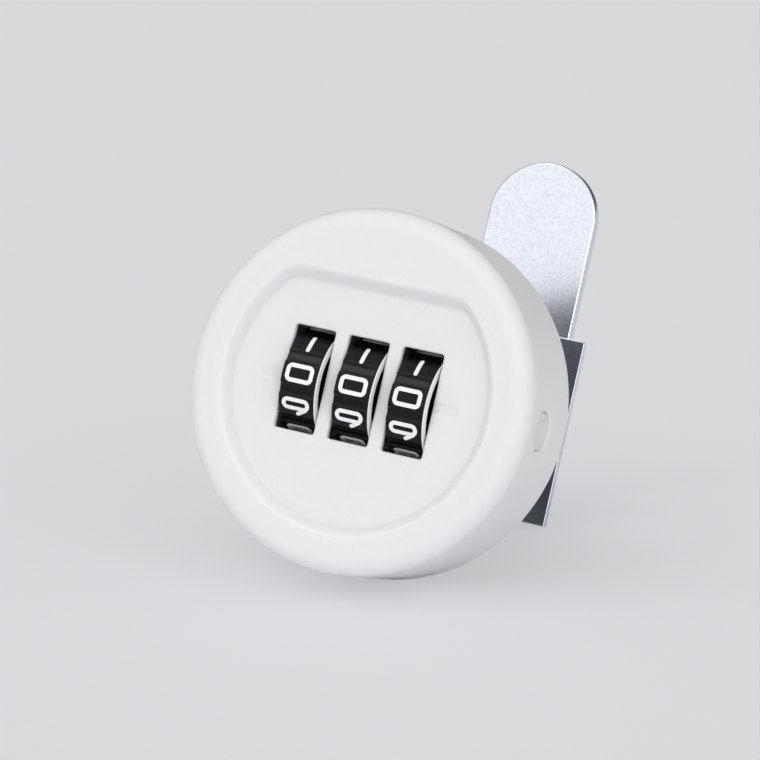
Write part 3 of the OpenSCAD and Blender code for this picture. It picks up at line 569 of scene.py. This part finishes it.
def stroke(corners, radius, closed, lift=0.025):
    """A raised stroke on the tread at angle 0: four points across, sunk at both edges, round at open ends."""
    path = evenly(rounded_path(corners, radius, closed), closed)
    if closed:
        chord = np.roll(path, -1, axis=0) - np.roll(path, 1, axis=0)
    else:
        chord = np.gradient(path, axis=0)
    chord /= np.linalg.norm(chord, axis=1, keepdims=True)
    half = STROKE / 2
    if not closed:
        nearest = np.minimum(np.arange(len(path)), np.arange(len(path))[::-1]) * STROKE_STEP
        half = (half * np.sqrt(np.clip(1 - (1 - np.minimum(nearest / half, 1)) ** 2, 0.04, 1)))[:, None]
    across = np.stack([-chord[:, 1], chord[:, 0]], -1) * half
    flat = np.stack([path - across, path - across, path + across, path + across], 1)
    radii = np.broadcast_to(np.array([-STROKE_SUNK, lift, lift, -STROKE_SUNK]) + DIAL_R, flat.shape[:2])
    return np.concatenate([flat, radii[..., None]], -1)


def wrapped(flat, angle):
    """Points (across, up, radius) laid on the tread, turned up by angle degrees from the front."""
    turn = math.radians(angle) + flat[..., 1] / DIAL_R
    return np.stack([flat[..., 0], DIAL_Y - flat[..., 2] * np.cos(turn), flat[..., 2] * np.sin(turn)], -1)


def number_parts():
    """All ten numbers of a dial: the next one up stands DIGIT_TURN degrees higher."""
    parts = []
    for digit, strokes in SHAPES.items():
        for corners, radius, closed in strokes:
            turned = wrapped(stroke(corners, radius, closed), DIGIT_TURN * digit + NUMBER_LIFT)
            parts.append(part(turned, loop=closed))
    return parts


TREAD_MIDDLE = np.array([-LIP_T / 2, 0, 0])
for name, x in (("left", -DIAL_PITCH), ("middle", 0.0), ("right", DIAL_PITCH)):
    place, body = np.array([x, 0, 0]), "dial_" + name
    points, faces = part(dial_rings(), loop=True)
    tread = make(body + "_tread", points + place, faces)
    dress(tread, BLACK, body, "black_abs", body)
    points, faces = joined(number_parts())
    numbers = make(body + "_numbers", points + place + TREAD_MIDDLE, faces)
    dress(numbers, NUMBER, body, "white_abs", body)
    points, faces = part(white_rings(), loop=True)
    ring = make(body + "_white", points + place, faces)
    dress(ring, WHITE_SMOOTH, body, "white_abs", body + "_ring")

# %% [markdown]
# ## Change button
# A turned button with a dished end, a collar behind the wall and a socket for the axle.

# %% Button
def button_rings():
    """A dish of radius sqrt(ball^2 - (ball - depth)^2) cut by a ball, then a rounded rim, the shaft and the collar."""
    dish_r = math.sqrt(DISH_BALL**2 - (DISH_BALL - DISH_DEPTH) ** 2)
    radii = np.linspace(0.15, dish_r - 0.03, 10)
    centre = BUTTON_END_X + DISH_BALL - DISH_DEPTH
    profile = [(r, centre - math.sqrt(DISH_BALL**2 - r * r)) for r in radii]
    profile += [(dish_r + 0.05, BUTTON_END_X - 0.01)]
    profile += arc((BUTTON_R - BUTTON_EDGE, BUTTON_END_X - BUTTON_EDGE), BUTTON_EDGE, 90, 0, 6)
    profile += [(BUTTON_R, COLLAR_X + 1.0), (COLLAR_R, COLLAR_X + 1.0), (COLLAR_R, COLLAR_X)]
    profile += [(SOCKET_R, COLLAR_X), (SOCKET_R, SOCKET_X)]
    return turned_x(profile, 96)


button = make("button", *part(button_rings()))
dress(button, WHITE_BUTTON_PAINTED_SHADE, "change_button", "white_abs", "change_button")

# %% [markdown]
# ## Sleeve, plate and nut
# The stem carries a helical thread where the construction has rings: the radius falls by a ridge profile of the
# phase y / pitch + angle / 360, and the two flats cut it off. The plate's edges are rounded as a press leaves them.

# %% Threaded sleeve
def stem_radius(angle, y, pitch=1.0, depth=0.55):
    """Radius of the threaded stem at each angle and height, limited by the flats at |x| = STEM_FLAT."""
    phase = (y / pitch + angle / (2 * np.pi)) % 1.0
    ridge = np.clip(np.abs(2 * phase - 1) * 1.25 - 0.125, 0, 1)
    fade = np.clip((y - 2.2) / 0.8, 0, 1) * np.clip((STEM_L - 0.3 - y) / 0.8, 0, 1)
    flat = STEM_FLAT / np.maximum(np.abs(np.cos(angle)), 1e-6)
    return np.minimum(STEM_R - depth * ridge * fade, np.where(y > 2.0, flat, 99))


def sleeve_parts(cols=144):
    """The flange with the threaded stem, and the stop wall that leaves a quarter open on the stem's end."""
    angle = np.arange(cols) * 2 * np.pi / cols
    rows = [(BORE_R, STEM_L), (BORE_R, 20.0), (BORE_R, -0.1), (HEAD_R, -0.1), (HEAD_R, -FLANGE_T)]
    rows += [(FLANGE_R - 0.1, -FLANGE_T), (FLANGE_R, -FLANGE_T + 0.1), (FLANGE_R, -0.1), (FLANGE_R - 0.1, 0.0)]
    rows += [(STEM_R, 0.0), (STEM_R, 1.99)]
    rows += [(stem_radius(angle, y), y) for y in np.arange(2.01, STEM_L, 0.125)]
    rows += [(stem_radius(angle, STEM_L), STEM_L)]
    sleeve = part(turned_y(rows, cols), loop=True)
    turn = np.linspace(0, 1, 60)[:, None]
    radii = np.array([STOP_R, STOP_R, STEM_R, STEM_R])[None, :]
    gap_up = np.arcsin(STOP_GAP / radii)
    gap_right = np.arcsin(STOP_GAP / np.minimum(radii, math.hypot(STEM_FLAT, STOP_GAP)))
    where = (np.pi / 2 + gap_up) * (1 - turn) + (2 * np.pi - gap_right) * turn
    radii = np.minimum(radii, STEM_FLAT / np.maximum(np.abs(np.cos(where)), 1e-6))
    height = np.broadcast_to(np.array([STEM_L, STEM_L + STOP_L, STEM_L + STOP_L, STEM_L])[None, :], where.shape)
    wall = part(np.stack([radii * np.cos(where), height, radii * np.sin(where)], -1))
    return [sleeve, wall]


def pin_hole(x, z):
    """A cutter for the hole that the locking pin enters."""
    return post_y(x, z, PIN_HOLE_R, -2.0, 1.0)


sleeve_form, wall_form = sleeve_parts()
sleeve = make("sleeve", *sleeve_form)
cut(sleeve, make("pin_holes", *joined([pin_hole(0, -PIN_OUT), pin_hole(-PIN_OUT, 0)])))
dress(sleeve, CASTING_GREY_WITH_PAINTED_SHADE, "mounting", "zinc_plated_casting", "mounting_sleeve")
stop_wall = make("sleeve_stop_wall", *wall_form)
dress(stop_wall, CASTING_GREY_WITH_PAINTED_SHADE, "mounting", "zinc_plated_casting", "mounting_sleeve")

# %% Clamp plate and nut
def round_outline(radius, count=480):
    """A circle as an outline that turns left."""
    angle = np.arange(count) * 2 * np.pi / count
    return np.stack([radius * np.cos(angle), radius * np.sin(angle)], -1)


double_d = round_outline(STEM_R + PLATE_FIT, 960)
double_d[:, 0] = np.clip(double_d[:, 0], -STEM_FLAT - 0.1, STEM_FLAT + 0.1)
plate_outline = resampled(rounded_rect(PLATE_W, PLATE_W, PLATE_CORNER, 9), 480)
plate_rings = pressed_plate(plate_outline, double_d, PLATE_Y, PLATE_Y + PLATE_T, PLATE_EDGE)
plate = make("plate", *part(plate_rings + np.array([0, 0, PLATE_LIFT]), loop=True))
dress(plate, ZINC, "mounting", "zinc_plated_steel", "clamp_plate")


def hexagon(angle, across_flats, offset):
    """Radius of a hexagon: half its width over the cosine of the angle from the nearest flat's middle."""
    return across_flats / 2 / np.cos((angle - offset + np.pi / 6) % (np.pi / 3) - np.pi / 6)


def nut_rings(cols=180):
    """Hexagon nut. On both sides a cone takes its corners off, so a corner starts lower than a flat's middle."""
    angle = np.arange(cols) * 2 * np.pi / cols
    radius = hexagon(angle, NUT_AF, 0.0)
    start, full = NUT_AF / 2 - 0.2, NUT_AF / 2 / math.cos(math.pi / 6) + 0.2
    drop = NUT_CHAMFER * (radius - start) / (full - start)
    y0, y1, bore = PLATE_Y + PLATE_T, PLATE_Y + PLATE_T + NUT_T, STEM_R + 0.06
    return turned_y([
        (bore, y1 - 0.4), (bore, y0 + 0.4), (bore + 0.4, y0), (start, y0), (radius, y0 + drop),
        (radius, y1 - drop), (start, y1), (bore + 0.4, y1),
    ], cols)


nut = make("nut", *part(nut_rings(), loop=True), crease=20.0)
dress(nut, ZINC, "mounting", "zinc_plated_steel", "clamp_nut")

# %% [markdown]
# ## Cam, washer and screw
# The cam is a flat bar with two round ends, pressed from sheet, so its edges are rounded all round.

# %% Cam and its fixing
tip_z = CAM_TIP - CAM_W / 2
cam_outline = np.array(arc((0, tip_z), CAM_W / 2, 0, 180, 90) + arc((0, 0), CAM_W / 2, 180, 360, 90))
square_hole = resampled(rounded_rect(CAM_SQUARE, CAM_SQUARE, 0.15, 5), 960)
cam_rings = pressed_plate(resampled(cam_outline, 440), square_hole, CAM_Y, CAM_Y + CAM_T, CAM_EDGE)
cam = make("cam_bar", *part(cam_rings, loop=True))
dress(cam, ZINC, "knob", "zinc_plated_steel", "cam")

seat_y = CAM_Y + CAM_T
washer_outline, washer_hole = round_outline(WASHER_R, 120), round_outline(WASHER_HOLE_R, 120)
washer_rings = pressed_plate(washer_outline, washer_hole, seat_y, seat_y + WASHER_T, WASHER_EDGE)
washer = make("washer", *part(washer_rings, loop=True))
dress(washer, ZINC, "knob", "zinc_plated_steel", "cam_washer")


def screw_rings(cols=96):
    """Hexagon screw: shank, head and the cone that takes the head's corners off."""
    angle = np.arange(cols) * 2 * np.pi / cols
    seat = seat_y + WASHER_T
    radius = hexagon(angle, HEAD_AF, math.pi / 6)
    start, full = HEAD_AF / 2 - 0.2, HEAD_AF / 2 / math.cos(math.pi / 6) + 0.2
    drop = HEAD_CHAMFER * (radius - start) / (full - start)
    return turned_y([
        (CAM_SCREW_R - 0.3, seat - CAM_SCREW_L), (CAM_SCREW_R, seat - CAM_SCREW_L + 0.3), (CAM_SCREW_R, seat),
        (radius, seat), (radius, seat + HEAD_H - drop), (start, seat + HEAD_H),
    ], cols)


screw = make("hexagon_screw", *part(screw_rings()), crease=20.0)
dress(screw, ZINC, "knob", "zinc_plated_steel", "cam_screw")

# %% [markdown]
# ## Springs
# Two coils of round wire. A ring of the wire is carried along the helix.

# %% Coils
def coil(mean_r, wire_r, length, turns, steps=28, sides=10):
    """Rings of a wire along a helix about +Z from 0 to length, in mm."""
    turn = np.linspace(0, 2 * np.pi * turns, turns * steps + 1)[:, None]
    across = (np.arange(sides) * 2 * np.pi / sides)[None, :]
    radius = mean_r + wire_r * np.cos(across)
    height = wire_r + (length - 2 * wire_r) * turn / turn[-1] + wire_r * np.sin(across)
    return np.stack([radius * np.cos(turn), radius * np.sin(turn), height], -1)


wound = coil(CHANGE_R, WIRE_R, CHANGE_L, 6)
points, faces = part(np.stack([wound[..., 2] + CHANGE_END_X, wound[..., 0] + DIAL_Y, wound[..., 1]], -1))
change_spring = make("change_coil", points, faces)
dress(change_spring, STEEL, "knob", "bright_steel", "change_spring")
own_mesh(change_spring)
wound = coil(FENCE_R, WIRE_R, FENCE_L, 3)
points, faces = part(np.stack([wound[..., 0], wound[..., 2] + FENCE_END_Y - FENCE_L, wound[..., 1] - PIN_OUT], -1))
fence_spring = make("fence_coil", points, faces)
dress(fence_spring, STEEL, "knob", "bright_steel", "fence_spring")
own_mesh(fence_spring)

# %% [markdown]
# ## Stage
# The lock rests on its rim and on a corner of the plate, so the floor is tilted in the lock's own frame. It is
# seen from above only, and carries the soft shadow.

# %% Floor
FLOOR_UP = np.array([-0.126, -0.265, 0.956])
FLOOR_UP = FLOOR_UP / np.linalg.norm(FLOOR_UP)
FLOOR_D, FLOOR_HALF = -23.1 * MM, 6.0


def floor_material(code, seen_code, share):
    """A pale matt floor that is clear from below. The camera sees share of it as an even tone, so shadows are soft."""
    material = bpy.data.materials.new("pale_floor")
    material.use_nodes = True
    tree = material.node_tree
    shader = tree.nodes["Principled BSDF"]
    shader.inputs["Base Color"].default_value = linear(code)
    shader.inputs["Roughness"].default_value = 0.7
    shader.inputs["Specular IOR Level"].default_value = 0.2
    back = add(tree, "ShaderNodeNewGeometry").outputs["Backfacing"]
    clear = add(tree, "ShaderNodeBsdfTransparent")
    mixed = add(tree, "ShaderNodeMixShader", Fac=back)
    even = add(tree, "ShaderNodeEmission", Color=linear(seen_code), Strength=1.0)
    camera_ray = add(tree, "ShaderNodeLightPath").outputs["Is Camera Ray"]
    part_even = add(tree, "ShaderNodeMath")
    part_even.operation = "MULTIPLY"
    tree.links.new(camera_ray, part_even.inputs[0])
    part_even.inputs[1].default_value = share
    softened = add(tree, "ShaderNodeMixShader", Fac=part_even.outputs["Value"])
    tree.links.new(shader.outputs["BSDF"], softened.inputs[1])
    tree.links.new(even.outputs["Emission"], softened.inputs[2])
    tree.links.new(softened.outputs["Shader"], mixed.inputs[1])
    tree.links.new(clear.outputs["BSDF"], mixed.inputs[2])
    tree.links.new(mixed.outputs["Shader"], tree.nodes["Material Output"].inputs["Surface"])
    return material


side_a = np.cross([0, 1, 0], FLOOR_UP)
side_a /= np.linalg.norm(side_a)
side_b = np.cross(FLOOR_UP, side_a)
floor_mesh = bpy.data.meshes.new("floor")
signs = ((-1, -1), (1, -1), (1, 1), (-1, 1))
floor_corners = [FLOOR_UP * FLOOR_D + FLOOR_HALF * (a * side_a + b * side_b) for a, b in signs]
floor_mesh.from_pydata([tuple(map(float, c)) for c in floor_corners], [], [(0, 1, 2, 3)])
floor_mesh.materials.append(floor_material("#F2F2F5", "#E0DFE3", 0.6))
floor = bpy.data.objects.new("floor", floor_mesh)
bpy.context.scene.collection.objects.link(floor)
print("floor normal", [round(float(v), 3) for v in floor_mesh.polygons[0].normal])

# %% [markdown]
# ## Light and camera
# A wide key sun from the front right, a narrow one that only puts the soft band into the dials' grooves, and a room
# that is bright in front of the lock and dark behind it.

# %% Lights, room and camera
def soft_sun(name, towards, share, angle):
    """A wide sun: share is what it adds to a white surface that faces it, and angle its width in degrees."""
    data = bpy.data.lights.new(name, "SUN")
    data.energy, data.angle = share * math.pi, math.radians(angle)
    light = bpy.data.objects.new(name, data)
    light.rotation_euler = Vector(towards).to_track_quat("Z", "Y").to_euler()
    bpy.context.scene.collection.objects.link(light)


soft_sun("key", (0.7, -0.7, 0.1), 0.22, 60)
soft_sun("glint", (-0.373, -0.65, 0.66), 0.055, 15)

world = bpy.data.worlds.new("soft_room")
bpy.context.scene.world = world
world.use_nodes = True
tree = world.node_tree
FILL_SIDE, FILL_MEAN, FILL_SWING, FILL_COLOUR = Vector((0.0, -1.0, 0.0)), 0.54, 0.5, (1.0, 0.995, 1.0, 1.0)
direction = add(tree, "ShaderNodeTexCoord").outputs["Generated"]
towards_fill = add(tree, "ShaderNodeVectorMath")
towards_fill.operation = "DOT_PRODUCT"
tree.links.new(direction, towards_fill.inputs[0])
towards_fill.inputs[1].default_value = FILL_SIDE
level = add(tree, "ShaderNodeMapRange", Value=towards_fill.outputs["Value"], From_Min=-1.0, From_Max=1.0)
level.inputs["To Min"].default_value = FILL_MEAN - FILL_SWING
level.inputs["To Max"].default_value = FILL_MEAN + FILL_SWING
tree.links.new(level.outputs["Result"], tree.nodes["Background"].inputs["Strength"])
tree.nodes["Background"].inputs["Color"].default_value = FILL_COLOUR
seen = add(tree, "ShaderNodeBackground", Color=linear("#DEDEE1"), Strength=1.0)
path = add(tree, "ShaderNodeLightPath")
mixed = add(tree, "ShaderNodeMixShader", Fac=path.outputs["Is Camera Ray"])
tree.links.new(tree.nodes["Background"].outputs["Background"], mixed.inputs[1])
tree.links.new(seen.outputs["Background"], mixed.inputs[2])
tree.links.new(mixed.outputs["Shader"], tree.nodes["World Output"].inputs["Surface"])

SENSOR_W, FOCAL_PX, PICTURE_PX = 36.0, 3000, 760
camera_data = bpy.data.cameras.new("camera")
camera_data.sensor_width, camera_data.lens = SENSOR_W, FOCAL_PX / PICTURE_PX * SENSOR_W
camera_data.clip_start, camera_data.clip_end = 0.01, 30.0
camera = bpy.data.objects.new("camera", camera_data)
bpy.context.scene.collection.objects.link(camera)
VIEW_RIGHT = np.array([0.90591, 0.36208, 0.21959])
VIEW_UP = np.array([-0.20048, -0.09004, 0.97555])
VIEW_BACK = np.array([0.373, -0.92779, -0.00898])
VIEW_PLACE = np.array([147.151, -374.278, -1.501])
matrix = np.eye(4)
matrix[:3, 0], matrix[:3, 1], matrix[:3, 2] = VIEW_RIGHT, VIEW_UP, VIEW_BACK
matrix[:3, 3] = VIEW_PLACE * MM
camera.matrix_world = Matrix(matrix.tolist())
bpy.context.scene.camera = camera
bpy.context.scene.view_settings.view_transform = "Standard"
print("camera", round(camera_data.lens, 2), "mm")
